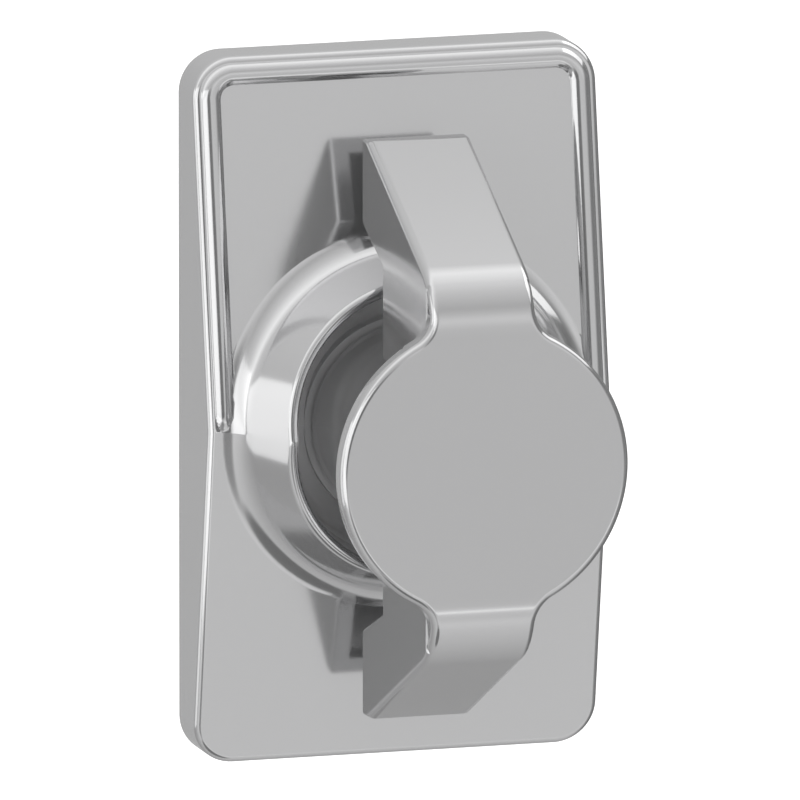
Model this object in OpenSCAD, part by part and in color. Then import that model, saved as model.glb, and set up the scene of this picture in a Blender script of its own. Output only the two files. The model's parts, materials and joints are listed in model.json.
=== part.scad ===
// Wing-handle enclosure lock: a creased die-cast escutcheon with a raised cup, a wing handle
// that turns a quarter turn, and the spindle, barrel and cranked cam behind the door.
// The origin is on the handle axis in the plane of the door. The handle points to -Y, +Z is up.
// Each piece is drawn facing up, with its depth measured from the door, and then turned to -Y.

/* [Escutcheon plate] */
// Width of the plate
plate_w = 52; // [52:0.5:58]
// Height of the plate
plate_h = 89; // [87:0.5:96]
// How far the middle of the plate lies above the handle axis
plate_rise = 1.25; // [0:0.25:2.5]
// Radius of the plate's four corners
plate_corner_r = 5.2; // [4.4:0.2:7]
// Thickness at the crease across the middle
ridge_d = 12.2; // [11.8:0.1:13]
// Angle at which each half of the face falls away from the crease
face_tilt = 7.3; // [6:0.1:8]
// Radius of the front edge
plate_edge_r = 0.8; // [0.5:0.1:1]
// Wall thickness of the face
face_wall = 2.6; // [2.2:0.1:3]
// Wall thickness of the sides
side_wall = 3.2; // [3:0.1:4]
// Radius of the raised bead round the upper half
bead_r = 1.04; // [0.95:0.01:1.15]
// Height of the bead above the face
bead_h = 0.75; // [0.5:0.05:0.8]
// Distance of the bead's crest from the plate's edge
bead_inset = 1.65; // [1.6:0.05:2]
// Length over which each end of the bead sinks into the face
bead_run_out = 5; // [3:0.5:8]

/* [Boss and cup] */
// Radius of the boss where its wall meets the face
boss_foot_r = 22.4; // [21.8:0.1:22.5]
// Angle of the boss wall to the face
boss_wall_angle = 61; // [59:0.5:62]
// Radius of the fillet at the foot of the boss
boss_fillet_r = 4.6; // [3:0.2:4.6]
// Height of the lip above the face
lip_rise = 8.2; // [7.5:0.1:8.6]
// Radius of the rounded lip
lip_r = 0.8; // [0.6:0.05:1]
// Depth of the cup floor below the crease
cup_drop = 0.8; // [0.6:0.1:1]
// Radius of the hollow corner at the foot of the cup
cup_fillet_r = 1.2; // [0.8:0.1:1.5]
// Width of the flat land round the neck
land_w = 0.8; // [0.5:0.1:1]

/* [Handle] */
// Distance from the door to the front of the handle
front_d = 46; // [45:0.5:50]
// Radius of the round plate
disc_r = 18.5; // [17.5:0.25:20]
// Thickness of the round plate
disc_t = 2.7; // [2.2:0.1:3.4]
// Radius of the round plate's front edge
disc_edge_r = 0.8; // [0.5:0.1:1]
// Radius of the wings' front edges
wing_edge_r = 0.5; // [0.3:0.1:0.8]
// Width of a wing
wing_w = 13.5; // [12:0.5:15]
// Length of a wing from the axis
wing_len = 36.3; // [35.3:0.1:38]
// Thickness of a wing at its tip
wing_tip_t = 3.1; // [2.8:0.1:4]
// Distance from the door to the back of a wing
wing_back_d = 15.2; // [14.8:0.1:16]
// Angle of a wing's slope to the door
wing_angle = 63.5; // [61:0.5:66]
// Radius of the bend between front and slope
bend_r = 8.5; // [6:0.5:10]
// Radius of the hollow corner between a wing and the round plate
web_r = 4; // [3:0.25:5]
// Distance from the door to the underside that passes over the lip
arch_d = 23.5; // [23:0.1:24.5]
// Radius at which that underside ends
arch_r = 21.8; // [21.5:0.1:22.5]
// Radius at which the back face of a wing begins
heel_r = 25.6; // [25.2:0.1:26.4]
// Wall round the hollow in the back of a wing
wing_wall = 2.2; // [1.8:0.1:2.6]
// Radius of the neck
neck_r = 12.35; // [12:0.05:12.8]
// Radius of the hollow corner between neck and round plate
neck_fillet_r = 2; // [1:0.25:3]

/* [Spindle and bearings] */
// Radius of the handle's hub in the front bush
hub_r = 6.5; // [6.3:0.05:6.8]
// Radius of the spindle
spindle_r = 5; // [4.95:0.05:5.2]
// Side of the spindle's squares
square_side = 7; // [6.6:0.1:7]
// Length of the square inside the handle
front_square_len = 24; // [18:0.5:26]
// Outer radius of the front bush
bush_r = 8; // [7.8:0.1:8.4]
// Radius of the front bush's flange
bush_flange_r = 10; // [9.5:0.1:10.5]
// Thickness of both bush flanges
bush_flange_t = 1; // [0.8:0.1:1.2]
// Length of the rear bush in the barrel
rear_bush_len = 10; // [6:0.5:11]
// Radius of the rear bush's flange
rear_flange_r = 9; // [8.6:0.1:9]
// Thickness of the washer under the neck
neck_washer_t = 0.4; // [0.3:0.1:0.6]
// Radius of the pin through the neck
pin_r = 1.5; // [1:0.25:1.5]
// Length of that pin
pin_len = 16.5; // [15:0.5:17]
// Section radius of the spindle's seal ring
spindle_seal_r = 0.88; // [0.86:0.01:0.9]

/* [Barrel] */
// Outer radius of the barrel
barrel_r = 11; // [10.9:0.1:11.4]
// Length of the barrel behind the door
barrel_len = 16; // [15:0.5:24]
// Bore radius of the barrel
barrel_bore_r = 6.5; // [6.45:0.01:6.55]
// Distance across the barrel's two flats
barrel_flats = 20.1; // [19.5:0.1:21]
// Radius of the barrel's flange
flange_r = 17; // [16.8:0.1:17.4]
// Thickness of the flange
flange_t = 2.5; // [2.4:0.1:3]
// How far the flange lies inside the plane of the door
flange_sink = 0.6; // [0.4:0.1:0.9]
// Radius of the circle of the four flange screws
flange_screw_circle = 13.6; // [13.4:0.1:13.8]
// Shank radius of the flange screws
flange_screw_r = 1.5; // [1.25:0.05:1.5]
// Length of the flange screws
flange_screw_len = 7; // [6:0.5:7.5]
// Section radius of the barrel's seal ring
barrel_seal_r = 0.58; // [0.5:0.02:0.6]

/* [Fixing] */
// Distance between the two fixing threads
fixing_pitch = 64; // [62:0.5:66]
// Thread radius of the fixing inserts
fixing_r = 2.5; // [2:0.25:2.5]
// Outer radius of the inserts
insert_r = 3.5; // [3.4:0.1:3.8]
// Length of the inserts
insert_len = 5; // [4:0.25:5.25]
// Radius of the bosses that hold the inserts
fixing_boss_r = 5.2; // [5:0.1:6]
// Width of the bare rim outside the gasket
rim_w = 1.4; // [1.2:0.1:1.6]
// Thickness of the gasket
gasket_t = 1.4; // [1:0.1:1.6]
// Width of the gasket
gasket_w = 1.7; // [1.2:0.1:1.7]

/* [Stop and cam] */
// Thickness of the stop washer
stop_t = 2; // [1.5:0.1:2.5]
// Half angle of its lug
lug_half = 12; // [10:1:15]
// How deep the lug reaches into the barrel
lug_reach = 2.6; // [2:0.1:3]
// Turn of the handle between the stops
handle_turn = 90; // [80:5:100]
// Width of the cam
cam_w = 18; // [16:0.5:20]
// Thickness of the cam
cam_t = 3; // [2.5:0.1:4]
// Length of the cam from the axis
cam_len = 36; // [32:0.5:38]
// Crank of the cam towards the door
cam_crank = 4; // [2:0.5:4]
// Thread radius of the cam screw
cam_screw_r = 2.5; // [2:0.25:2.5]
// Length of the cam screw
cam_screw_len = 14; // [12:0.5:16]

/* [Hidden] */
// Clearance between pieces that don't move on each other
fit_gap = 0.02;
// Clearance of a running fit
run_gap = 0.03;
// Clearance between the neck and the land in the cup
seat_gap = 0.3;
// Free angle at each stop
stop_gap = 1.5;
// Overlap that joins the shapes of one solid
sink = 0.03;
// Reach of a cut past the surface that it opens
past = 1;
// Bevel on turned edges
bevel = 0.5;
// Facets along a quarter of a rounded edge
edge_steps = 4;
// Facets along each arc of a turned outline
arc_steps = 10;
$fn = 64;

plate_top = plate_h / 2 + plate_rise;
plate_bottom = plate_rise - plate_h / 2;
face_slope = tan(face_tilt);
cup_floor_d = ridge_d - cup_drop;
lip_centre_z = lip_rise - lip_r;
lip_centre_r = boss_foot_r - lip_centre_z / tan(boss_wall_angle) - lip_r / sin(boss_wall_angle);
cup_r = lip_centre_r - lip_r;
boss_r = boss_foot_r + boss_fillet_r * tan(boss_wall_angle / 2);
boss_root = 5;
plug_depth = 4;
plug_r = 20;
bead_centre_z = bead_h - bead_r;
bead_corner_r = plate_corner_r - bead_inset;
bead_x = plate_w / 2 - bead_inset;
bead_top = (plate_top - bead_inset) / cos(face_tilt);
fixing_y = [plate_rise + fixing_pitch / 2, plate_rise - fixing_pitch / 2];
insert_play = 0.5;
insert_groove = 0.3;
rib_t = 1.6;
rib_d = 1.8;
flange_play = 0.5;
pillar_r = 3.4;
bearing_boss_r = bush_r + 3;
screw_count = 4;

disc_back_d = front_d - disc_t;
wing_tip_d = wing_back_d + wing_tip_t;
wing_corner = wing_len - (front_d - wing_tip_d) / tan(wing_angle);
bend_start = wing_corner - bend_r * tan(wing_angle / 2);
web_x = wing_w / 2 + web_r;
web_y = sqrt(pow(disc_r + web_r, 2) - pow(web_x, 2));

flange_top_d = flange_sink + flange_t;
bush_back_d = flange_top_d + 1.3;
bush_top_d = cup_floor_d + bush_flange_t;
neck_back_d = bush_top_d + run_gap + neck_washer_t;
skirt_back_d = cup_floor_d + seat_gap;
skirt_r = bush_flange_r + seat_gap;
hub_back_d = flange_top_d + 0.5;
spindle_front_d = flange_top_d + 0.1;
square_front_d = spindle_front_d + front_square_len;
socket_play = 0.4;
pin_d = neck_back_d + 4.5;
barrel_back_d = -barrel_len;
rear_bush_front_d = barrel_back_d + rear_bush_len;
rear_bush_back_d = barrel_back_d - bush_flange_t;
spring_t = 0.5;
spring_rise = 1;
thrust_t = 0.9;
clip_t = 1;
clip_gap = 0.05;
clip_depth = 0.2;
clip_wall = 2.4;
clip_mouth = 40;
clip_ear_r = 1.1;
spring_back_d = rear_bush_back_d - run_gap - spring_rise;
thrust_back_d = spring_back_d - thrust_t;
clip_back_d = thrust_back_d - clip_gap - clip_t;
shoulder_d = clip_back_d - 0.5;
stop_back_d = shoulder_d - stop_t;
cam_back_d = stop_back_d - cam_t;
spindle_back_d = cam_back_d + 0.3;
washer_r = 8.9;
lug_in_r = rear_flange_r + 0.3;
lug_out_r = barrel_r - 0.1;
lug_angle = -90 + handle_turn / 2;
notch_depth = lug_reach + 0.4;
notch_in_r = lug_in_r - 0.1;
notch_half = handle_turn / 2 + lug_half + stop_gap;
cam_washer_t = 1.6;
lock_washer_t = 1.2;
lock_washer_r = 4.4;
cam_washer_back_d = cam_back_d - cam_washer_t;
cam_head_d = cam_washer_back_d - lock_washer_t;
cam_head_t = 3.5;
cam_head_af = 8;
crank_start = 14;
crank_end = crank_start + cam_crank;
seal_ring_d = -3;
seal_ring_r = barrel_bore_r - 2 * fit_gap - spindle_seal_r;
seal_groove_r = seal_ring_r - spindle_seal_r - fit_gap;
seal_groove_w = 2 * spindle_seal_r + 0.2;
flange_seal_r = 9.5;
flange_groove_w = 2 * barrel_seal_r + 0.4;
screw_head_r = 2.75;
screw_head_t = screw_head_r - flange_screw_r;
screw_key_r = 1.15;
screw_key_depth = 1.1;
screw_play = 0.6;

// Points on an arc, from one angle to another
function arc(cx, cy, r, from, to, steps = arc_steps) = [
    for (i = [0:steps])
        let (a = from + (to - from) * i / steps)
        [cx + r * cos(a), cy + r * sin(a)]
];

// Depth of the face, less a wall, at a height above the axis
function face_d(y, wall = 0) = ridge_d - wall - face_slope * abs(y);

// Turns a shape drawn facing up so that it faces -Y
module facing() {
    rotate([90, 0, 0]) children();
}

// Extrudes an outline from one depth to another
module between(from_d, to_d) {
    translate([0, 0, from_d]) linear_extrude(to_d - from_d) children();
}

module ring(outer_r, inner_r) {
    difference() {
        circle(outer_r);
        circle(inner_r);
    }
}

// Solid with a side outline, drawn as height and depth, and a width across it
module side_extrude(width) {
    rotate([90, 0, 90]) translate([0, 0, -width / 2]) linear_extrude(width) children();
}

// Places the copies that stand round the axis
module round_the_axis(count, radius, first = 0) {
    for (i = [0:count - 1]) rotate(first + 360 * i / count) translate([radius, 0, 0]) children();
}

// Outline of the plate, less an inset
module plate_outline(inset) {
    half_w = plate_w / 2 - inset;
    half_h = plate_h / 2 - inset;
    r = plate_corner_r - inset;
    translate([0, plate_rise]) {
        square([2 * (half_w - r), 2 * half_h], center = true);
        square([2 * half_w, 2 * (half_h - r)], center = true);
        for (sx = [-1, 1], sy = [-1, 1]) translate([sx * (half_w - r), sy * (half_h - r)]) circle(r);
    }
}

// Upper or lower part of that outline
module half_outline(side, inset) {
    intersection() {
        plate_outline(inset);
        translate([-plate_w, side > 0 ? 0 : -plate_h]) square([2 * plate_w, plate_h]);
    }
}

// Roof-shaped plate with a rounded front edge
module slab() {
    hull() {
        for (side = [-1, 1], i = [0:edge_steps]) {
            a = 90 * i / edge_steps;
            ring_d = ridge_d - plate_edge_r * (1 - sin(a)) - sink;
            multmatrix([[1, 0, 0, 0], [0, 1, 0, 0], [0, -side * face_slope, 1, ring_d]])
                linear_extrude(sink) half_outline(side, plate_edge_r * (1 - cos(a)), $fn = 32);
        }
        linear_extrude(sink) plate_outline(0, $fn = 32);
    }
}

// Leans a shape drawn on the crease with one half of the face, and keeps what lies on that half
module face_half(side) {
    intersection() {
        translate([0, 0, ridge_d]) rotate([-side * face_tilt, 0, 0]) children();
        translate([-plate_w, side > 0 ? 0 : -plate_h, -plate_w]) cube([2 * plate_w, plate_h, 2 * plate_w]);
    }
}

// Section of the boss: root, hollow fillet, leaning wall, round lip and cup
module boss_section() {
    lean = 90 - boss_wall_angle;
    translate([0, -sink]) polygon(concat(
        [[0, -boss_root], [boss_r, -boss_root]],
        arc(boss_r, boss_fillet_r, boss_fillet_r, 270, 180 + lean),
        arc(lip_centre_r, lip_centre_z, lip_r, lean, 180),
        arc(cup_r - cup_fillet_r, cup_fillet_r - cup_drop, cup_fillet_r, 360, 270, 4),
        [[0, -cup_drop]]
    ));
}

// Bead round the upper half, straight along the edges, turned at the corners, sinking in at its ends
module bead() {
    side_top = bead_top - bead_corner_r;
    dive = atan((bead_h + sink) / bead_run_out);
    half_top = bead_x - bead_corner_r;
    for (sx = [-1, 1]) {
        translate([sx * bead_x, bead_run_out, bead_centre_z]) {
            rotate([-90, 0, 0]) cylinder(r = bead_r, h = side_top - bead_run_out);
            sphere(bead_r);
            rotate([90 + dive, 0, 0]) cylinder(r = bead_r, h = bead_run_out + past);
        }
        translate([sx * half_top, side_top, bead_centre_z]) rotate(sx > 0 ? 0 : 90)
            rotate_extrude(angle = 90) translate([bead_corner_r, 0]) circle(bead_r);
    }
    translate([-half_top, bead_top, bead_centre_z]) rotate([0, 90, 0]) cylinder(r = bead_r, h = 2 * half_top);
}

// Hollow in the back of the casting, under the roof
module back_hollow() {
    intersection() {
        between(-past, ridge_d) plate_outline(side_wall);
        side_extrude(plate_w) polygon([
            [plate_bottom, -past], [plate_top, -past],
            [plate_top, face_d(plate_top, face_wall)], [0, face_d(0, face_wall)],
            [plate_bottom, face_d(plate_bottom, face_wall)]
        ]);
    }
}

// What stands in that hollow: bearing boss, screw pillars, insert bosses and ribs
module back_core() {
    between(-2 * past, ridge_d - past) {
        circle(bearing_boss_r);
        round_the_axis(screw_count, flange_screw_circle, 45) circle(pillar_r);
        for (y = fixing_y) translate([0, y]) circle(fixing_boss_r);
    }
    between(rib_d, ridge_d - past) {
        square([rib_t, plate_h + plate_w], center = true);
        for (y = concat(fixing_y, [0])) translate([0, y]) square([plate_w, rib_t], center = true);
    }
}

module escutcheon() color("silver") facing() difference() {
    union() {
        difference() {
            slab();
            for (side = [-1, 1]) face_half(side) between(-plug_depth, plug_depth) circle(plug_r);
        }
        for (side = [-1, 1]) face_half(side) rotate_extrude($fn = 96) boss_section();
        face_half(1) bead();
        between(cup_floor_d - plug_depth, cup_floor_d) circle(neck_r + land_w);
    }
    difference() {
        back_hollow();
        back_core();
    }
    between(-past, flange_top_d) circle(flange_r + flange_play);
    between(-past, gasket_t) difference() {
        plate_outline(rim_w);
        plate_outline(side_wall + sink);
    }
    between(0, ridge_d + past) circle(bush_r + fit_gap);
    between(0, flange_sink + flange_screw_len + screw_play)
        round_the_axis(screw_count, flange_screw_circle, 45) circle(flange_screw_r + fit_gap);
    for (y = fixing_y) between(-past, insert_len + insert_play) translate([0, y]) circle(insert_r + fit_gap);
}

// Brass inserts with a groove that locks them in the casting
module threaded_inserts() color("goldenrod") facing() for (y = fixing_y) {
    third = insert_len / 3;
    waist_r = insert_r - insert_groove;
    translate([0, y, 0]) rotate_extrude() polygon([
        [fixing_r, 0], [insert_r, 0], [insert_r, third], [waist_r, third + insert_groove],
        [waist_r, 2 * third - insert_groove], [insert_r, 2 * third], [insert_r, insert_len - insert_groove],
        [waist_r, insert_len], [fixing_r, insert_len]
    ]);
}

module plate_gasket() color("dimgray") facing() between(0, gasket_t) difference() {
    plate_outline(rim_w + fit_gap);
    plate_outline(rim_w + gasket_w);
}

module front_bush() color("tan") facing() rotate_extrude() {
    inner_r = hub_r + run_gap;
    polygon([
        [inner_r, bush_back_d], [bush_r - bevel, bush_back_d], [bush_r, bush_back_d + bevel],
        [bush_r, cup_floor_d], [bush_flange_r, cup_floor_d], [bush_flange_r, bush_top_d],
        [inner_r, bush_top_d]
    ]);
}

module barrel() color("darkgray") facing() difference() {
    rotate_extrude() polygon([
        [barrel_bore_r, barrel_back_d], [barrel_r - bevel, barrel_back_d], [barrel_r, barrel_back_d + bevel],
        [barrel_r, flange_sink], [flange_r, flange_sink], [flange_r, flange_top_d - bevel],
        [flange_r - bevel, flange_top_d], [barrel_bore_r, flange_top_d]
    ]);
    for (side = [0, 180]) rotate(side) translate([-barrel_r, barrel_flats / 2, barrel_back_d - past])
        cube([2 * barrel_r, barrel_r, barrel_len + past]);
    between(flange_top_d - 2 * barrel_seal_r - fit_gap, flange_top_d + past)
        ring(flange_seal_r + flange_groove_w / 2, flange_seal_r - flange_groove_w / 2);
    round_the_axis(screw_count, flange_screw_circle, 45) {
        between(-past, flange_top_d + past) circle(flange_screw_r + 5 * fit_gap);
        rotate_extrude() polygon([
            [0, 0], [screw_head_r + fit_gap, 0], [screw_head_r + fit_gap, flange_sink],
            [flange_screw_r + fit_gap, flange_sink + screw_head_t], [0, flange_sink + screw_head_t]
        ]);
    }
    rotate(-90 - notch_half) rotate_extrude(angle = 2 * notch_half)
        translate([notch_in_r, barrel_back_d - past]) square([barrel_r, notch_depth + past]);
}

module barrel_seal() color("dimgray") facing()
    translate([0, 0, flange_top_d - barrel_seal_r - fit_gap / 2]) rotate_extrude()
        translate([flange_seal_r, 0]) circle(barrel_seal_r, $fn = 24);

// Countersunk screws with a hexagon socket
module barrel_screws() color("lightsteelblue") facing()
    round_the_axis(screw_count, flange_screw_circle, 45) translate([0, 0, flange_sink]) difference() {
        rotate_extrude($fn = 32) polygon([
            [0, 0], [screw_head_r, 0], [flange_screw_r, screw_head_t],
            [flange_screw_r, flange_screw_len - bevel], [flange_screw_r - bevel, flange_screw_len],
            [0, flange_screw_len]
        ]);
        between(-past, screw_key_depth) circle(screw_key_r, $fn = 6);
    }

module rear_bush() color("tan") facing() rotate_extrude() {
    inner_r = spindle_r + run_gap;
    outer_r = barrel_bore_r - fit_gap;
    polygon([
        [inner_r, rear_bush_back_d], [rear_flange_r, rear_bush_back_d], [rear_flange_r, barrel_back_d],
        [outer_r, barrel_back_d], [outer_r, rear_bush_front_d - bevel], [outer_r - bevel, rear_bush_front_d],
        [inner_r, rear_bush_front_d]
    ]);
}

// Round plate, neck and hub as one turned outline
module handle_core() {
    rotate_extrude($fn = 96) polygon(concat(
        [[0, hub_back_d], [hub_r - bevel, hub_back_d], [hub_r, hub_back_d + bevel],
            [hub_r, neck_back_d], [skirt_r, neck_back_d], [skirt_r, skirt_back_d],
            [neck_r - bevel, skirt_back_d], [neck_r, skirt_back_d + bevel]],
        arc(neck_r + neck_fillet_r, disc_back_d - neck_fillet_r, neck_fillet_r, 180, 90, 6),
        arc(disc_r - bevel, disc_back_d + bevel, bevel, 270, 360, 3),
        arc(disc_r - disc_edge_r, front_d - disc_edge_r, disc_edge_r, 0, 90, 5),
        [[0, front_d]]
    ));
}

// Side outline of a wing, less an inset, from the axis to the tip
function wing_side(inset, back_d) = concat(
    [[0, back_d], [0, front_d - inset]],
    arc(bend_start, front_d - bend_r, bend_r - inset, 90, 90 - wing_angle, 6),
    [[wing_len - inset, wing_tip_d - inset * (1 / cos(wing_angle) - tan(wing_angle))],
        [wing_len - inset, back_d]]
);

// Solid wing with rounded front edges, cut away under the arch and hollow from behind
module wing() {
    difference() {
        hull() for (i = [0:edge_steps]) {
            a = 90 * i / edge_steps;
            side_extrude(wing_w - 2 * wing_edge_r * (1 - sin(a)))
                polygon(wing_side(wing_edge_r * (1 - cos(a)), wing_back_d));
        }
        side_extrude(wing_w + 2 * past) polygon([
            [-past, wing_back_d - past], [heel_r, wing_back_d - past], [heel_r, wing_back_d],
            [arch_r, arch_d], [-past, arch_d]
        ]);
        wing_hollow();
    }
}

// Hollow that follows the wing's slope at an even wall
module wing_hollow() {
    first_y = neck_r + wing_wall;
    first_d = wing_back_d - past;
    intersection() {
        side_extrude(wing_w - 2 * wing_wall) polygon(wing_side(wing_wall, first_d));
        translate([-wing_w, first_y, first_d])
            cube([2 * wing_w, wing_len - wing_wall - first_y, disc_back_d - wing_wall - first_d]);
    }
}

// Hollow corners where a wing's sides run into the round plate
module wing_webs() {
    touch = disc_r / (disc_r + web_r);
    intersection() {
        between(disc_back_d, front_d) difference() {
            polygon([
                [-web_x, 0], [web_x, 0], [touch * web_x, touch * web_y], [wing_w / 2, web_y],
                [-wing_w / 2, web_y], [-touch * web_x, touch * web_y]
            ]);
            for (sx = [-1, 1]) translate([sx * web_x, web_y]) circle(web_r);
        }
        side_extrude(2 * disc_r) polygon(wing_side(0, wing_back_d));
    }
}

module handle() color("silver") facing() difference() {
    union() {
        handle_core();
        for (side = [0, 180]) rotate(side) {
            wing();
            wing_webs();
        }
    }
    between(hub_back_d - past, square_front_d + socket_play) square(square_side + 2 * fit_gap, center = true);
    translate([0, -pin_len / 2 - fit_gap, pin_d]) rotate([-90, 0, 0])
        cylinder(r = pin_r + fit_gap, h = neck_r + pin_len);
}

module neck_washer() color("lightgray") facing()
    between(bush_top_d + run_gap, neck_back_d) ring(bush_flange_r - bevel, hub_r + run_gap);

module spindle() color("darkgray") facing() difference() {
    union() {
        between(shoulder_d, spindle_front_d) circle(spindle_r);
        between(spindle_front_d - past, square_front_d) square(square_side, center = true);
        between(spindle_back_d, shoulder_d + past) square(square_side, center = true);
    }
    between(clip_back_d - clip_gap, clip_back_d + clip_t + clip_gap)
        ring(spindle_r + past, spindle_r - clip_depth);
    between(seal_ring_d - seal_groove_w / 2, seal_ring_d + seal_groove_w / 2)
        ring(spindle_r + past, seal_groove_r);
    translate([0, -square_side, pin_d]) rotate([-90, 0, 0])
        cylinder(r = pin_r + fit_gap, h = 2 * square_side);
    between(spindle_back_d - past, cam_head_d + cam_screw_len + screw_play) circle(cam_screw_r + fit_gap);
}

module spindle_pin() color("lightsteelblue") facing()
    translate([0, -pin_len / 2, pin_d]) rotate([-90, 0, 0]) cylinder(r = pin_r, h = pin_len);

module spindle_seal() color("dimgray") facing() translate([0, 0, seal_ring_d]) rotate_extrude()
    translate([seal_ring_r, 0]) circle(spindle_seal_r, $fn = 24);

// Cone-shaped spring that takes the play out of the spindle
module disc_spring() color("lightsteelblue") facing() rotate_extrude() polygon([
    [spindle_r + run_gap, spring_back_d], [washer_r, spring_back_d + spring_rise - spring_t],
    [washer_r, spring_back_d + spring_rise], [spindle_r + run_gap, spring_back_d + spring_t]
]);

module thrust_washer() color("lightgray") facing()
    between(thrust_back_d, spring_back_d) ring(washer_r, spindle_r + run_gap);

// Open ring with two ears for the pliers
module circlip() color("lightsteelblue") facing() between(clip_back_d, clip_back_d + clip_t) {
    inner_r = spindle_r - clip_depth + fit_gap;
    ear_at = inner_r + clip_wall;
    mouth = clip_mouth / 2;
    difference() {
        union() {
            ring(inner_r + clip_wall, inner_r);
            for (side = [-1, 1]) rotate(90 + side * (mouth + 8)) translate([ear_at - clip_ear_r / 2, 0])
                circle(clip_ear_r);
        }
        polygon([[0, 0], [2 * washer_r * cos(90 - mouth), 2 * washer_r * sin(90 - mouth)],
            [2 * washer_r * cos(90 + mouth), 2 * washer_r * sin(90 + mouth)]]);
        circle(inner_r);
    }
}

// Washer on the square, with a lug that runs in the notch of the barrel
module stop_washer() color("gray") facing() difference() {
    union() {
        between(stop_back_d, shoulder_d) circle(lug_out_r);
        rotate(lug_angle - lug_half) rotate_extrude(angle = 2 * lug_half) translate([lug_in_r, stop_back_d])
            square([lug_out_r - lug_in_r, barrel_back_d + lug_reach - stop_back_d]);
    }
    between(stop_back_d - past, shoulder_d + past) square(square_side + 2 * fit_gap, center = true);
}

// Flat bar with a crank that brings its end towards the door
module cam() color("gray") facing() difference() {
    intersection() {
        between(cam_back_d - past, stop_back_d + cam_crank + past) {
            circle(cam_w / 2);
            translate([-cam_w / 2, 0]) square([cam_w, cam_len - cam_w / 2]);
            translate([0, cam_len - cam_w / 2]) circle(cam_w / 2);
        }
        side_extrude(cam_w + past) polygon([
            [-cam_w, cam_back_d], [crank_start, cam_back_d], [crank_end, cam_back_d + cam_crank],
            [cam_len + past, cam_back_d + cam_crank], [cam_len + past, stop_back_d + cam_crank],
            [crank_end, stop_back_d + cam_crank], [crank_start, stop_back_d], [-cam_w, stop_back_d]
        ]);
    }
    between(cam_back_d - past, stop_back_d + past) square(square_side + 2 * fit_gap, center = true);
}

module cam_washer() color("lightgray") facing()
    between(cam_washer_back_d, cam_back_d) ring(washer_r, cam_screw_r + run_gap);

// Split spring washer under the screw head
module lock_washer() color("lightsteelblue") facing() between(cam_head_d, cam_washer_back_d) difference() {
    ring(lock_washer_r, cam_screw_r + run_gap);
    rotate(30) translate([0, -bevel / 2]) square([2 * lock_washer_r, bevel]);
}

module cam_screw() color("lightsteelblue") facing() {
    head_r = cam_head_af / 2;
    head_end = cam_head_d - cam_head_t;
    shank_end = cam_head_d + cam_screw_len;
    intersection() {
        between(head_end, cam_head_d) circle(head_r / cos(30), $fn = 6);
        rotate_extrude() polygon([
            [0, head_end], [head_r, head_end], [head_r + 2 * bevel, head_end + bevel],
            [head_r + 2 * bevel, cam_head_d], [0, cam_head_d]
        ]);
    }
    rotate_extrude() polygon([
        [0, cam_head_d - past], [cam_screw_r, cam_head_d - past], [cam_screw_r, shank_end - bevel],
        [cam_screw_r - bevel, shank_end], [0, shank_end]
    ]);
}

escutcheon();
threaded_inserts();
plate_gasket();
front_bush();
barrel();
barrel_seal();
barrel_screws();
rear_bush();
handle();
neck_washer();
spindle();
spindle_pin();
spindle_seal();
disc_spring();
thrust_washer();
circlip();
stop_washer();
cam();
cam_washer();
lock_washer();
cam_screw();
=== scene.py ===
import json
import math

import bmesh
import bpy
from mathutils import Matrix, Vector


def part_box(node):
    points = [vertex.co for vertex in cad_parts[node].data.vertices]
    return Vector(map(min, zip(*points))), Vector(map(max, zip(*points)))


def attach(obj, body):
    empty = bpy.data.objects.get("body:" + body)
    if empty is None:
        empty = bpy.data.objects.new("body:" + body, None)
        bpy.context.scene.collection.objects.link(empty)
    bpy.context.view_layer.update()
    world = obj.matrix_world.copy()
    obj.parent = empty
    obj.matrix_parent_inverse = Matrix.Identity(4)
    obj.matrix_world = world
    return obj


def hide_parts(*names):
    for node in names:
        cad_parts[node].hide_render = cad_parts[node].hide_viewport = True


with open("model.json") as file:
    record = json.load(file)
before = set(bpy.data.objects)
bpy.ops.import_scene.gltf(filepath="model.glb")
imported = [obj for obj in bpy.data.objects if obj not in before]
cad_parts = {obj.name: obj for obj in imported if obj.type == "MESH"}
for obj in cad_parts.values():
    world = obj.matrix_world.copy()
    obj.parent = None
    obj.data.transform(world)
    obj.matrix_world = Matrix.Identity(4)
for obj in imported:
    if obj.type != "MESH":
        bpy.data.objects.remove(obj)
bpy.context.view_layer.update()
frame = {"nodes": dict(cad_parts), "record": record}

# Pieces are modelled in millimetres, lying on their backs with their depth measured
# from the door, and then stood up to face -Y and brought to metres.
millimetre = 0.001
standUp = Matrix.Rotation(math.radians(90), 4, "X") @ Matrix.Scale(millimetre, 4)


def boxInMillimetres(node):  # width, height and depth limits of a CAD node, lying on its back
    low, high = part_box(node)
    return {"left": low.x / millimetre, "right": high.x / millimetre, "bottom": low.z / millimetre,
            "top": high.z / millimetre, "back": -high.y / millimetre, "front": -low.y / millimetre}


# Modelling helpers

def arcPoints(centre, radius, fromAngle, toAngle, steps):
    angles = [math.radians(fromAngle + (toAngle - fromAngle) * i / steps) for i in range(steps + 1)]
    return [(centre[0] + radius * math.cos(a), centre[1] + radius * math.sin(a)) for a in angles]


def outlineMesh(points, closed, place):  # place turns an outline point into a position
    mesh = bmesh.new()
    corners = [mesh.verts.new(place(*point)) for point in points]
    for first, second in zip(corners, corners[1:] + corners[:1] * closed):
        mesh.edges.new((first, second))
    return mesh


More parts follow.
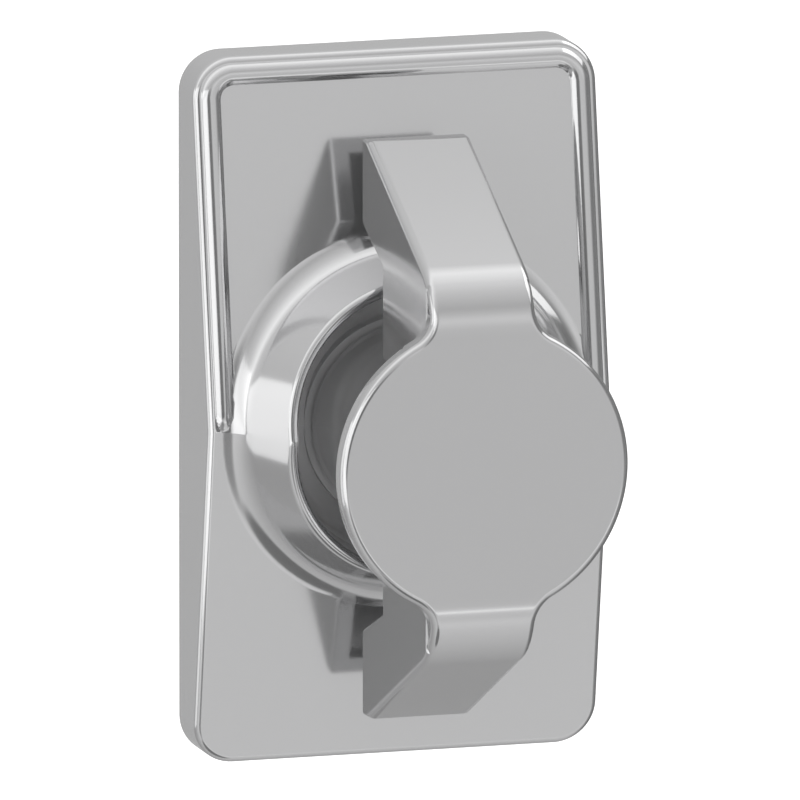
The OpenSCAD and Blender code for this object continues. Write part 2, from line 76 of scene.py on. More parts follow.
def extruded(points, place, reach):  # a closed outline, filled and drawn out by reach
    mesh = outlineMesh(points, True, place)
    bmesh.ops.contextual_create(mesh, geom=mesh.edges[:])
    drawn = bmesh.ops.extrude_face_region(mesh, geom=mesh.faces[:])["geom"]
    bmesh.ops.translate(mesh, vec=reach, verts=[v for v in drawn if isinstance(v, bmesh.types.BMVert)])
    bmesh.ops.recalc_face_normals(mesh, faces=mesh.faces)
    return mesh


def turned(points, steps):  # an outline of radius and depth, turned round the axis
    mesh = outlineMesh(points, False, lambda radius, depth: (radius, 0, depth))
    bmesh.ops.spin(mesh, geom=mesh.verts[:] + mesh.edges[:], cent=(0, 0, 0), axis=(0, 0, 1),
                   angle=math.tau, steps=steps, use_merge=True)
    bmesh.ops.remove_doubles(mesh, verts=mesh.verts, dist=1e-4)
    bmesh.ops.recalc_face_normals(mesh, faces=mesh.faces)
    return mesh


def block(left, right, bottom, top, back, front):
    mesh = bmesh.new()
    bmesh.ops.create_cube(mesh, size=1)
    bmesh.ops.scale(mesh, vec=(right - left, top - bottom, front - back), verts=mesh.verts)
    middle = ((left + right) / 2, (bottom + top) / 2, (back + front) / 2)
    bmesh.ops.translate(mesh, vec=middle, verts=mesh.verts)
    return mesh


def rod(radius, back, front, steps=96):
    mesh = bmesh.new()
    bmesh.ops.create_cone(mesh, cap_ends=True, segments=steps, radius1=radius, radius2=radius, depth=front - back)
    bmesh.ops.translate(mesh, vec=(0, 0, (back + front) / 2), verts=mesh.verts)
    return mesh


def cutAway(mesh, point, normal, fill=True):  # removes what lies on the normal's side
    cut = bmesh.ops.bisect_plane(mesh, geom=mesh.verts[:] + mesh.edges[:] + mesh.faces[:], dist=1e-5,
                                 plane_co=point, plane_no=normal, clear_outer=True)["geom_cut"]
    if fill:
        bmesh.ops.contextual_create(mesh, geom=[e for e in cut if isinstance(e, bmesh.types.BMEdge)])


def solid(mesh, name):
    data = bpy.data.meshes.new(name)
    mesh.to_mesh(data)
    mesh.free()
    made = bpy.data.objects.new(name, data)
    bpy.context.scene.collection.objects.link(made)
    return made


def settle(piece):  # keeps what the modifiers made
    bpy.context.view_layer.update()
    graph = bpy.context.evaluated_depsgraph_get()
    done = bpy.data.meshes.new_from_object(piece.evaluated_get(graph))
    piece.modifiers.clear()
    old = piece.data
    piece.data = done
    done.name = old.name
    bpy.data.meshes.remove(old)


def combine(piece, tool, operation):
    step = piece.modifiers.new(operation, "BOOLEAN")
    step.operation = operation
    step.solver = "EXACT"
    step.object = tool
    settle(piece)
    bpy.data.objects.remove(tool)


def tidyFlats(piece, angle=0.3):  # joins the slivers that combining leaves on flat faces
    mesh = bmesh.new()
    mesh.from_mesh(piece.data)
    bmesh.ops.remove_doubles(mesh, verts=mesh.verts, dist=2e-3)
    bmesh.ops.dissolve_limit(mesh, angle_limit=math.radians(angle), verts=mesh.verts, edges=mesh.edges)
    mesh.to_mesh(piece.data)
    mesh.free()


def finished(piece, node, body, material, smoothAngle):  # stands a piece up in the place of its node
    piece.data.transform(standUp)
    piece.data.shade_smooth()
    piece.data.set_sharp_from_angle(angle=math.radians(smoothAngle))
    weighted = piece.modifiers.new("weightedNormals", "WEIGHTED_NORMAL")
    weighted.keep_sharp = True
    weighted.weight = 90
    piece.data.materials.clear()
    piece.data.materials.append(material)
    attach(piece, body)
    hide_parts(node)
    return piece


# Surface groups and materials

def nodeGroup(name, inputs, outputs):
    group = bpy.data.node_groups.new(name, "ShaderNodeTree")
    for label, kind, value in inputs:
        socket = group.interface.new_socket(name=label, in_out="INPUT", socket_type=kind)
        socket.default_value = value
    for label, kind in outputs:
        group.interface.new_socket(name=label, in_out="OUTPUT", socket_type=kind)
    nodes = group.nodes
    return group, nodes.new("NodeGroupInput"), nodes.new("NodeGroupOutput"), nodes, group.links


def makeFinishGroup():  # faint clouding, a fine noise grain and its relief
    inputs = [("Tone", "NodeSocketColor", (0.6, 0.6, 0.6, 1)), ("Tone Shift", "NodeSocketFloat", 0.03),
              ("Roughness", "NodeSocketFloat", 0.2), ("Roughness Shift", "NodeSocketFloat", 0.05),
              ("Relief", "NodeSocketFloat", 0.02), ("Cloud Scale", "NodeSocketFloat", 60.0),
              ("Grain Scale", "NodeSocketFloat", 900.0), ("Satin Radius", "NodeSocketFloat", 0.0),
              ("Satin Roughness", "NodeSocketFloat", 0.0), ("Metallic", "NodeSocketFloat", 1.0),
              ("Satin Metallic", "NodeSocketFloat", 1.0)]
    outputs = [("Color", "NodeSocketColor"), ("Roughness", "NodeSocketFloat"), ("Normal", "NodeSocketVector"),
               ("Metallic", "NodeSocketFloat")]
    group, given, result, nodes, links = nodeGroup("metalFinish", inputs, outputs)
    place = nodes.new("ShaderNodeTexCoord")
    cloud = nodes.new("ShaderNodeTexNoise")
    cloud.inputs["Detail"].default_value = 3
    grain = nodes.new("ShaderNodeTexNoise")
    grain.inputs["Detail"].default_value = 2
    for noise, scale in ((cloud, "Cloud Scale"), (grain, "Grain Scale")):
        links.new(place.outputs["Object"], noise.inputs["Vector"])
        links.new(given.outputs[scale], noise.inputs["Scale"])

    def shifted(source, amount, base):  # base + (source - 0.5) * amount
        centred = nodes.new("ShaderNodeMath")
        centred.operation = "SUBTRACT"
        centred.inputs[1].default_value = 0.5
        links.new(source, centred.inputs[0])
        scaled = nodes.new("ShaderNodeMath")
        scaled.operation = "MULTIPLY_ADD"
        links.new(centred.outputs[0], scaled.inputs[0])
        links.new(amount, scaled.inputs[1])
        if base is None:
            scaled.inputs[2].default_value = 1.0
        else:
            links.new(base, scaled.inputs[2])
        return scaled.outputs[0]

    brightness = shifted(cloud.outputs["Fac"], given.outputs["Tone Shift"], None)
    tint = nodes.new("ShaderNodeVectorMath")
    tint.operation = "SCALE"
    links.new(given.outputs["Tone"], tint.inputs[0])
    links.new(brightness, tint.inputs["Scale"])
    links.new(tint.outputs[0], result.inputs["Color"])
    flat = nodes.new("ShaderNodeVectorMath")
    flat.operation = "MULTIPLY"
    flat.inputs[1].default_value = (1, 0, 1)
    links.new(place.outputs["Object"], flat.inputs[0])
    reach = nodes.new("ShaderNodeVectorMath")
    reach.operation = "LENGTH"
    links.new(flat.outputs[0], reach.inputs[0])
    inside = nodes.new("ShaderNodeMath")
    inside.operation = "LESS_THAN"
    links.new(reach.outputs["Value"], inside.inputs[0])
    links.new(given.outputs["Satin Radius"], inside.inputs[1])

    def satin(outer, inner):  # one value outside the satin radius and the other inside it
        choice = nodes.new("ShaderNodeMix")
        links.new(inside.outputs[0], choice.inputs[0])
        links.new(outer, choice.inputs[2])
        links.new(inner, choice.inputs[3])
        return choice.outputs[0]

    roughness = satin(given.outputs["Roughness"], given.outputs["Satin Roughness"])
    links.new(shifted(grain.outputs["Fac"], given.outputs["Roughness Shift"], roughness), result.inputs["Roughness"])
    links.new(satin(given.outputs["Metallic"], given.outputs["Satin Metallic"]), result.inputs["Metallic"])
    relief = nodes.new("ShaderNodeBump")
    relief.inputs["Distance"].default_value = 0.0001
    links.new(given.outputs["Relief"], relief.inputs["Strength"])
    links.new(grain.outputs["Fac"], relief.inputs["Height"])
    links.new(relief.outputs[0], result.inputs["Normal"])
    return group


finishGroup = makeFinishGroup()


def surface(name, finish, metallic, **sockets):  # a Principled surface fed by the finish group
    material = bpy.data.materials.new(name)
    material.use_nodes = True
    nodes, links = material.node_tree.nodes, material.node_tree.links
    shader = nodes["Principled BSDF"]
    group = nodes.new("ShaderNodeGroup")
    group.node_tree = finishGroup
    for label, value in finish.items():
        group.inputs[label].default_value = value
    links.new(group.outputs["Color"], shader.inputs["Base Color"])
    links.new(group.outputs["Roughness"], shader.inputs["Roughness"])
    links.new(group.outputs["Normal"], shader.inputs["Normal"])
    shader.inputs["Metallic"].default_value = metallic
    for label, value in sockets.items():
        shader.inputs[label].default_value = value
    return material


materials = {
    "cast_chrome": surface("polishedCasting", {"Tone": (0.64, 0.64, 0.645, 1), "Tone Shift": 0.02,
                                               "Roughness": 0.12, "Roughness Shift": 0.03, "Relief": 0.001}, 0.86),
    "zinc_plate": surface("zincPlate", {"Tone": (0.62, 0.63, 0.65, 1), "Tone Shift": 0.16, "Roughness": 0.3,
                                        "Roughness Shift": 0.16, "Relief": 0.1}, 1.0),
    "spring_steel": surface("springSteel", {"Tone": (0.3, 0.3, 0.32, 1), "Tone Shift": 0.2, "Roughness": 0.34,
                                            "Roughness Shift": 0.12, "Relief": 0.1}, 1.0),
    "brass": surface("turnedBrass", {"Tone": (0.75, 0.56, 0.27, 1), "Tone Shift": 0.14, "Roughness": 0.26,
                                     "Roughness Shift": 0.12, "Relief": 0.08}, 1.0),
    "bush_plastic": surface("naturalAcetal", {"Tone": (0.82, 0.79, 0.71, 1), "Tone Shift": 0.05,
                                              "Roughness": 0.42, "Roughness Shift": 0.1, "Relief": 0.1}, 0.0),
    "seal_rubber": surface("blackRubber", {"Tone": (0.03, 0.03, 0.032, 1), "Tone Shift": 0.3,
                                           "Roughness": 0.6, "Roughness Shift": 0.15, "Relief": 0.3}, 0.0),
}


def makeCuppedCasting():  # the polished casting, left satin inside the cup
    finish = {"Tone": (0.66, 0.66, 0.665, 1), "Tone Shift": 0.02, "Roughness": 0.12, "Roughness Shift": 0.03,
              "Relief": 0.001, "Satin Radius": 0.0168, "Satin Roughness": 0.34, "Metallic": 0.86,
              "Satin Metallic": 0.1}
    material = surface("cuppedCasting", finish, 0.86)
    nodes, links = material.node_tree.nodes, material.node_tree.links
    group = next(node for node in nodes if node.type == "GROUP")
    links.new(group.outputs["Metallic"], nodes["Principled BSDF"].inputs["Metallic"])
    return material


cuppedCasting = makeCuppedCasting()
print("materials ready")


# Escutcheon

plateBox = boxInMillimetres("escutcheon")
escutcheonSettings = {
    "creaseDepth": 13.4, "tilt": 9.3, "cornerRadius": 5.2, "cornerSteps": 14,
    "edgeRadius": 0.85, "edgeSteps": 5,
    "footRadius": 22.2, "wallAngle": 61, "filletRadius": 4.6, "lipRise": 7.9, "lipRadius": 0.8, "cupDrop": 2.0,
    "cupFillet": 1.2, "bossRoot": 5, "overlap": 0.02, "turns": 160,
    "plugRadius": 19.5, "plugDepth": 8.9, "landRadius": 13.15, "boreRadius": 8.05,
    "beadRadius": 1.6, "beadHeight": 0.65, "beadInset": 2.2, "beadRunOut": 2.5, "beadSink": 8,
    "skin": 1.25,
}


def leanUpperHalf(mesh, settings):  # from the level crease plane to the upper half of the roof
    mesh.transform(Matrix.Translation((0, 0, settings["creaseDepth"]))
                   @ Matrix.Rotation(math.radians(-settings["tilt"]), 4, "X"))


def mirrorToLowerHalf(mesh):
    cutAway(mesh, (0, 0, 0), (0, -1, 0), fill=False)
    bmesh.ops.mirror(mesh, geom=mesh.verts[:] + mesh.edges[:] + mesh.faces[:], matrix=Matrix.Identity(4),
                     merge_dist=1e-3, axis="Y")
    bmesh.ops.recalc_face_normals(mesh, faces=mesh.faces)


def roofBlock(settings, inset, back, drop):  # rounded block under the two leaning planes
    mesh = block(plateBox["left"] + inset, plateBox["right"] - inset, plateBox["bottom"] + inset,
                 plateBox["top"] - inset, back, settings["creaseDepth"] + 2)
    upright = [e for e in mesh.edges if abs(e.verts[0].co.z - e.verts[1].co.z) > 1]
    bmesh.ops.bevel(mesh, geom=upright, offset=settings["cornerRadius"] - inset, offset_type="OFFSET",
                    segments=settings["cornerSteps"], profile=0.5, affect="EDGES", material=-1)
    tilt = math.radians(settings["tilt"])
    for side in (1, -1):
        cutAway(mesh, (0, 0, settings["creaseDepth"] - drop), (0, side * math.sin(tilt), math.cos(tilt)))
    bmesh.ops.recalc_face_normals(mesh, faces=mesh.faces)
    return mesh


def buildSlab(settings):
    mesh = roofBlock(settings, 0, 0, 0)
    rim = [e for e in mesh.edges if len(e.link_faces) == 2
           and {abs(f.normal.z) > 0.9 for f in e.link_faces} == {True, False} and min(v.co.z for v in e.verts) > 1]
    bmesh.ops.bevel(mesh, geom=rim, offset=settings["edgeRadius"], offset_type="OFFSET",
                    segments=settings["edgeSteps"], profile=0.5, affect="EDGES", material=-1)
    return mesh


def bossOutline(settings):
    lean = 90 - settings["wallAngle"]
    wall = math.radians(settings["wallAngle"])
    lipZ = settings["lipRise"] - settings["lipRadius"]
    lipX = settings["footRadius"] - lipZ / math.tan(wall) - settings["lipRadius"] / math.sin(wall)
    foot = settings["footRadius"] + settings["filletRadius"] * math.tan(wall / 2)
    cup = lipX - settings["lipRadius"]
    hollow = settings["cupFillet"]
    points = [(0, -settings["bossRoot"]), (foot, -settings["bossRoot"])]
    points += arcPoints((foot, settings["filletRadius"]), settings["filletRadius"], 270, 180 + lean, 14)
    points += arcPoints((lipX, lipZ), settings["lipRadius"], lean, 180, 12)
    points += arcPoints((cup - hollow, hollow - settings["cupDrop"]), hollow, 360, 270, 6)
    points.append((0, -settings["cupDrop"]))
    return [(x, z - settings["overlap"]) for x, z in points]


def buildBoss(settings):
    mesh = turned(bossOutline(settings), settings["turns"])
    leanUpperHalf(mesh, settings)
    mirrorToLowerHalf(mesh)
    return mesh


def beadOutline(settings):  # across (outwards) and up: a round back, closed a little below the face
    radius = settings["beadRadius"]
    middle = settings["beadHeight"] - radius
    halfWidth = math.sqrt(radius ** 2 - middle ** 2)
    foot = math.degrees(math.atan2(-middle, halfWidth)) - settings["beadSink"]
    return arcPoints((0, middle), radius, foot, 180 - foot, 20)


def drawnOn(mesh, ends, move):  # draws the open end of a tube on by a move, and returns its new end
    made = bmesh.ops.extrude_edge_only(mesh, edges=ends)["geom"]
    fresh = {part for part in made if isinstance(part, bmesh.types.BMVert)}
    bmesh.ops.translate(mesh, vec=move, verts=list(fresh))
    return [e for e in made if isinstance(e, bmesh.types.BMEdge) and set(e.verts) <= fresh]


def turnedOn(mesh, ends, centre):  # takes that end a quarter turn round a centre
    made = bmesh.ops.spin(mesh, geom=ends + list({v for e in ends for v in e.verts}), cent=centre, axis=(0, 0, 1),
                          angle=math.radians(90), steps=12)["geom_last"]
    return [part for part in made if isinstance(part, bmesh.types.BMEdge)]


def buildBead(settings):  # bead along the sides and top of the upper half
    x = plateBox["right"] - settings["beadInset"]
    top = (plateBox["top"] - settings["beadInset"]) / math.cos(math.radians(settings["tilt"]))
    radius = settings["cornerRadius"] - settings["beadInset"]
    runOut = settings["beadRunOut"]
    dive = settings["beadHeight"] + settings["overlap"]
    stations = [(-runOut, -2 * dive), (0, -dive)]
    stations += [(runOut * t, -dive * (1 - t) ** 2) for t in (0.2, 0.4, 0.6, 0.8, 1.0)] + [(top - radius, 0)]
    moves = [(0, high[0] - low[0], high[1] - low[1]) for low, high in zip(stations, stations[1:])]
    firstY, firstZ = stations[0]
    mesh = outlineMesh(beadOutline(settings), True, lambda across, up: (x + across, firstY, up + firstZ))
    ends = mesh.edges[:]
    for move in moves:
        ends = drawnOn(mesh, ends, move)
    ends = turnedOn(mesh, ends, (x - radius, top - radius, 0))
    ends = drawnOn(mesh, ends, (2 * (radius - x), 0, 0))
    ends = turnedOn(mesh, ends, (radius - x, top - radius, 0))
    for move in reversed(moves):
        ends = drawnOn(mesh, ends, (0, -move[1], -move[2]))
    bmesh.ops.holes_fill(mesh, edges=[e for e in mesh.edges if e.is_boundary])
    bmesh.ops.recalc_face_normals(mesh, faces=mesh.faces)
    leanUpperHalf(mesh, settings)
    cutAway(mesh, (0, 0, 0), (0, -1, 0), fill=False)
    bmesh.ops.holes_fill(mesh, edges=[e for e in mesh.edges if e.is_boundary])
    bmesh.ops.recalc_face_normals(mesh, faces=mesh.faces)
    return mesh


def castingCopy(node):  # the node's own solid, lying down and merged
    mesh = bmesh.new()
    mesh.from_mesh(frame["nodes"][node].data)
    mesh.transform(standUp.inverted())
    bmesh.ops.remove_doubles(mesh, verts=mesh.verts, dist=1e-3)
    return solid(mesh, node + "Copy")


def makeEscutcheon():
    settings = escutcheonSettings
    casting = solid(buildSlab(settings), "escutcheonCasting")
    combine(casting, solid(rod(settings["plugRadius"], settings["plugDepth"], settings["creaseDepth"] + 2), "plug"),
            "DIFFERENCE")
    combine(casting, solid(buildBoss(settings), "boss"), "UNION")
    combine(casting, solid(buildBead(settings), "bead"), "UNION")
    floor = settings["creaseDepth"] - settings["cupDrop"]
    combine(casting, solid(rod(settings["landRadius"], settings["plugDepth"], floor), "land"), "UNION")
    combine(casting, solid(rod(settings["boreRadius"], -1, floor + 2), "bore"), "DIFFERENCE")
    inside = solid(roofBlock(settings, settings["skin"], -1, settings["skin"]), "backSpace")
    combine(inside, castingCopy("escutcheon"), "DIFFERENCE")
    combine(casting, inside, "DIFFERENCE")
    tidyFlats(casting)
    return finished(casting, "escutcheon", "housing", cuppedCasting, 32)


# Handle

handleBox = boxInMillimetres("handle")
handleSettings = {
    "discRadius": 18.5, "discThickness": 2.7, "wingWidth": 13.3, "tipThickness": 3.05, "backDepth": 14.6,
    "wingAngle": 64, "bendRadius": 9.2, "bendSteps": 10, "webRadius": 4, "archDepth": 23.5, "archRadius": 21.8,
    "heelRadius": 25.6, "hollowWall": 2.2, "frontEdge": 1.0, "backEdge": 0.4, "edgeSteps": 4, "discSteps": 36,
    "backRimHeight": 15.5,
    "neckRadius": 12.35, "neckFillet": 2, "skirtDepth": 11.7, "skirtRadius": 10.3, "neckBack": 12.83,
    "hubRadius": 6.5, "bevel": 0.5, "turns": 128, "socket": 7.04, "socketFront": 27.6,
    "pinRadius": 1.52, "pinDepth": 17.33, "pinHalf": 8.27,
}


def bendPlaces(settings):  # centre height of the bend, and what the webs between plate and wings follow
    angle = math.radians(settings["wingAngle"])
    tip = settings["backDepth"] + settings["tipThickness"]
    corner = handleBox["top"] - (handleBox["front"] - tip) / math.tan(angle)
    bend = corner - settings["bendRadius"] * math.tan(angle / 2)
    web, half = settings["webRadius"], settings["wingWidth"] / 2
    centreX = half + web
    centreY = math.sqrt((settings["discRadius"] + web) ** 2 - centreX ** 2)
    meet = math.degrees(math.atan2(centreY, centreX))
    atBend = math.degrees(math.asin((centreY - bend) / web))
    centre = (centreX, centreY)
    flatPart = arcPoints(centre, web, 180 + meet, 180 + atBend, 3)
    bentPart = arcPoints(centre, web, 180 + atBend, 180, 8)[1:]
    return bend, meet, flatPart, bentPart


def wingProfile(settings, inset, lowest):  # height and depth, from the axis over the bend to the tip
    front, length, angle = handleBox["front"], handleBox["top"], math.radians(settings["wingAngle"])
    bend, meet, flatPart, bentPart = bendPlaces(settings)
    radius = settings["bendRadius"]
    turns = [0] + [math.degrees(math.asin((y - bend) / radius)) for x, y in bentPart]
    points = [(bend + (radius - inset) * math.sin(math.radians(t)),
               front - radius + (radius - inset) * math.cos(math.radians(t))) for t in turns]
    points += arcPoints((bend, front - radius), radius - inset, 90 - turns[-1], 90 - settings["wingAngle"],
                        settings["bendSteps"])[1:]
    tip = settings["backDepth"] + settings["tipThickness"]
    points.append((length - inset, tip - inset * (1 / math.cos(angle) - math.tan(angle))))
    points.append((length - inset, lowest))
    return points


def bothWays(points):  # a half outline and its mirror image, as one closed outline
    return points + [(-y, z) for y, z in reversed(points)]


def sideways(halfWidth):
    return lambda height, depth: (-halfWidth, height, depth)


def buildPlan(settings):  # round plate, webs and wings as seen from the front
    bend, meet, flatPart, bentPart = bendPlaces(settings)
    quarter = arcPoints((0, 0), settings["discRadius"], 0, meet, settings["discSteps"]) + flatPart[1:] + bentPart
    quarter.append((settings["wingWidth"] / 2, handleBox["top"] + 1))
    upper = quarter + [(-x, y) for x, y in reversed(quarter)]
    back = settings["backDepth"] - 1
    return extruded(upper + [(-x, -y) for x, y in upper[1:-1]], lambda x, y: (x, y, back),
                    (0, 0, handleBox["front"] + 1 - back))


def buildSideForm(settings):  # bends, slopes, tips and the arch over the lip
    half = settings["discRadius"] + 2
    outline = wingProfile(settings, 0, settings["backDepth"])
    outline += [(settings["heelRadius"], settings["backDepth"]), (settings["archRadius"], settings["archDepth"])]
    return extruded(bothWays(outline), sideways(half), (2 * half, 0, 0))


def buildNeck(settings):
    front, bevel = handleBox["front"] - settings["discThickness"] / 2, settings["bevel"]
    back = handleBox["front"] - settings["discThickness"]
    neck, fillet, hub = settings["neckRadius"], settings["neckFillet"], settings["hubRadius"]
    points = [(0, handleBox["back"]), (hub - bevel, handleBox["back"]), (hub, handleBox["back"] + bevel),
              (hub, settings["neckBack"]), (settings["skirtRadius"], settings["neckBack"]),
              (settings["skirtRadius"], settings["skirtDepth"]), (neck - bevel, settings["skirtDepth"]),
              (neck, settings["skirtDepth"] + bevel)]
    points += arcPoints((neck + fillet, back - fillet), fillet, 180, 92, 8)
    points += [(neck + fillet, front), (0, front)]
    return turned(points, settings["turns"])


def buildHollow(settings, side):  # core that leaves an even wall behind a wing's slope
    half = settings["wingWidth"] / 2 - settings["hollowWall"]
    top = handleBox["front"] - settings["discThickness"] - settings["hollowWall"]
    low = settings["backDepth"] - 2
    first = settings["neckRadius"] + settings["hollowWall"]
    outline = [(first, low), (first, top)]
    outline += [p for p in wingProfile(settings, settings["hollowWall"], low) if p[1] < top]
    return extruded([(side * y, z) for y, z in outline], sideways(half), (2 * half, 0, 0))


def roundHandleEdges(piece, settings):  # wide along the front, narrow along sides and back
    plateBack = handleBox["front"] - settings["discThickness"]
    mesh = bmesh.new()
    mesh.from_mesh(piece.data)

    def outerEdge(edge, front):
        if len(edge.link_faces) != 2 or not edge.is_convex or edge.calc_face_angle() < math.radians(35):
            return False
        if any(face.normal.z > 0.3 for face in edge.link_faces):
            return front  # front rim, bends, slopes and the tips' front edges
        middle = (edge.verts[0].co + edge.verts[1].co) / 2
        if abs(middle.z - plateBack) < 0.01:
            return not front and abs(middle.y) < settings["backRimHeight"]
        return not front and middle.z < plateBack - 1  # sides, tips and backs of the wings

    for front, width in ((True, settings["frontEdge"]), (False, settings["backEdge"])):
        bmesh.ops.bevel(mesh, geom=[e for e in mesh.edges if outerEdge(e, front)], offset=width,
                        offset_type="OFFSET", segments=settings["edgeSteps"], profile=0.5, affect="EDGES",
                          material=-1, clamp_overlap=False)
    for corner in mesh.verts:
        corner.co.z = min(corner.co.z, handleBox["front"])
    mesh.to_mesh(piece.data)
    mesh.free()


def makeHandle():
    settings = handleSettings
    casting = solid(buildPlan(settings), "handleCasting")
    combine(casting, solid(buildSideForm(settings), "sideForm"), "INTERSECT")
    inner, outer = settings["wingWidth"] / 2, settings["discRadius"] + 3
    plateBack = handleBox["front"] - settings["discThickness"]
    for left, right in ((inner, outer), (-outer, -inner)):
        beside = block(left, right, -handleBox["top"] - 1, handleBox["top"] + 1, settings["backDepth"] - 2, plateBack)
        combine(casting, solid(beside, "beside"), "DIFFERENCE")
    tidyFlats(casting)
    roundHandleEdges(casting, settings)
    for side in (1, -1):
        combine(casting, solid(buildHollow(settings, side), "hollow"), "DIFFERENCE")
    combine(casting, solid(buildNeck(settings), "neck"), "UNION")
    half = settings["socket"] / 2
    combine(casting, solid(block(-half, half, -half, half, handleBox["back"] - 1, settings["socketFront"]), "socket"),
            "DIFFERENCE")
    pin = rod(settings["pinRadius"], -settings["pinHalf"], settings["neckRadius"] + 4, 32)
    pin.transform(Matrix.Translation((0, 0, settings["pinDepth"])) @ Matrix.Rotation(math.radians(-90), 4, "X"))
    combine(casting, solid(pin, "pinHole"), "DIFFERENCE")
    return finished(casting, "handle", "knob", materials["cast_chrome"], 32)


makeEscutcheon()
print("escutcheon ready")
makeHandle()
print("handle ready")


# Pieces kept from the CAD model

edgeWidths = {"barrel": 0.25, "barrel_screws": 0.1, "cam": 0.35, "stop_washer": 0.25, "cam_screw": 0.15,
              "cam_washer": 0.2, "thrust_washer": 0.1, "lock_washer": 0.12, "circlip": 0.12, "spindle": 0.15,
              "front_bush": 0.15, "rear_bush": 0.15, "neck_washer": 0.06, "plate_gasket": 0.1,
              "threaded_inserts": 0.12}


def dressNode(node, slotName):
    kept = frame["nodes"][node]
    kept.data.materials.clear()
    kept.data.materials.append(materials[slotName])
    for face in kept.data.polygons:
        face.use_smooth = True
    weld = kept.modifiers.new("weld", "WELD")
    weld.merge_threshold = 2e-6
    if node in edgeWidths:
        bevel = kept.modifiers.new("softEdges", "BEVEL")
        bevel.width = edgeWidths[node] * millimetre
        bevel.segments = 2
        bevel.limit_method = "ANGLE"
        bevel.angle_limit = math.radians(35)
        bevel.harden_normals = False
    split = kept.modifiers.new("splitEdges", "EDGE_SPLIT")
    split.split_angle = math.radians(35)


for part in frame["record"]["subparts"]:
    if part["node"] not in ("escutcheon", "handle"):
        dressNode(part["node"], part["material_slot"])
print("CAD pieces dressed")


# Studio

studio = {
    "azimuth": -16.4, "elevation": 11.2, "lens": 1600, "frameWidth": 99.3, "pictureCentre": (380.2, 392.1),
    "floorDrop": 0.25, "worldStrength": 0.93,
    "worldGreys": [(-180, 0.57), (-168, 0.54), (-139, 0.385), (-90, 0.6), (-64, 0.74), (-48, 0.83), (-39, 0.91),
                   (-30, 0.77), (-24, 0.85), (-21, 1.5), (-18, 0.85), (-12, 0.7), (5, 0.75), (16, 0.93),
                   (34, 0.59), (60, 0.86), (94, 1.4), (115, 0.84), (168, 0.59), (180, 0.57)],
    "darkCloths": [{"azimuth": -17, "elevation": 4, "inner": 9, "outer": 21, "grey": 0.2},
                   {"azimuth": -18, "elevation": -29, "inner": 8, "outer": 17, "grey": 0.35},
                   {"azimuth": -12, "elevation": -62, "inner": 13, "outer": 20, "grey": 0.2},
                   {"azimuth": 100, "elevation": -5, "inner": 35, "outer": 60, "grey": 0.3}],
}


def makeCamera():
    data = bpy.data.cameras.new("photoCamera")
    data.lens = studio["lens"]
    data.sensor_width = 36
    camera = bpy.data.objects.new("photoCamera", data)
    bpy.context.scene.collection.objects.link(camera)
    a, e = math.radians(studio["azimuth"]), math.radians(studio["elevation"])
    back = Vector((math.sin(a) * math.cos(e), -math.cos(a) * math.cos(e), math.sin(e)))
    turn = (-back).to_track_quat("-Z", "Y")
    scale = studio["frameWidth"] / 800 * millimetre  # metres a pixel
    right, up = turn @ Vector((1, 0, 0)), turn @ Vector((0, 1, 0))
    middleX, middleY = studio["pictureCentre"]
    plateMiddle = Vector((0, 0, (plateBox["top"] + plateBox["bottom"]) / 2 * millimetre))
    target = plateMiddle + right * (400 - middleX) * scale - up * (400 - middleY) * scale
    distance = studio["frameWidth"] * millimetre / 2 / math.tan(math.atan(data.sensor_width / 2 / data.lens))
    camera.rotation_mode = "QUATERNION"
    camera.rotation_quaternion = turn
    camera.location = target + back * distance
    data.clip_start, data.clip_end = 0.1, 20
    bpy.context.scene.camera = camera


def fillRamp(ramp, greys):  # greys by angle, from -180 to 180 degrees
    for degrees, grey in greys[1:-1]:
        ramp.elements.new((degrees + 180) / 360)
    for element, (degrees, grey) in zip(ramp.elements, greys):
        element.position = (degrees + 180) / 360
        element.color = (grey, grey, grey, 1)


def pointedAt(azimuth, elevation):
    a, e = math.radians(azimuth), math.radians(elevation)
    return Vector((math.sin(a) * math.cos(e), -math.cos(a) * math.cos(e), math.sin(e)))


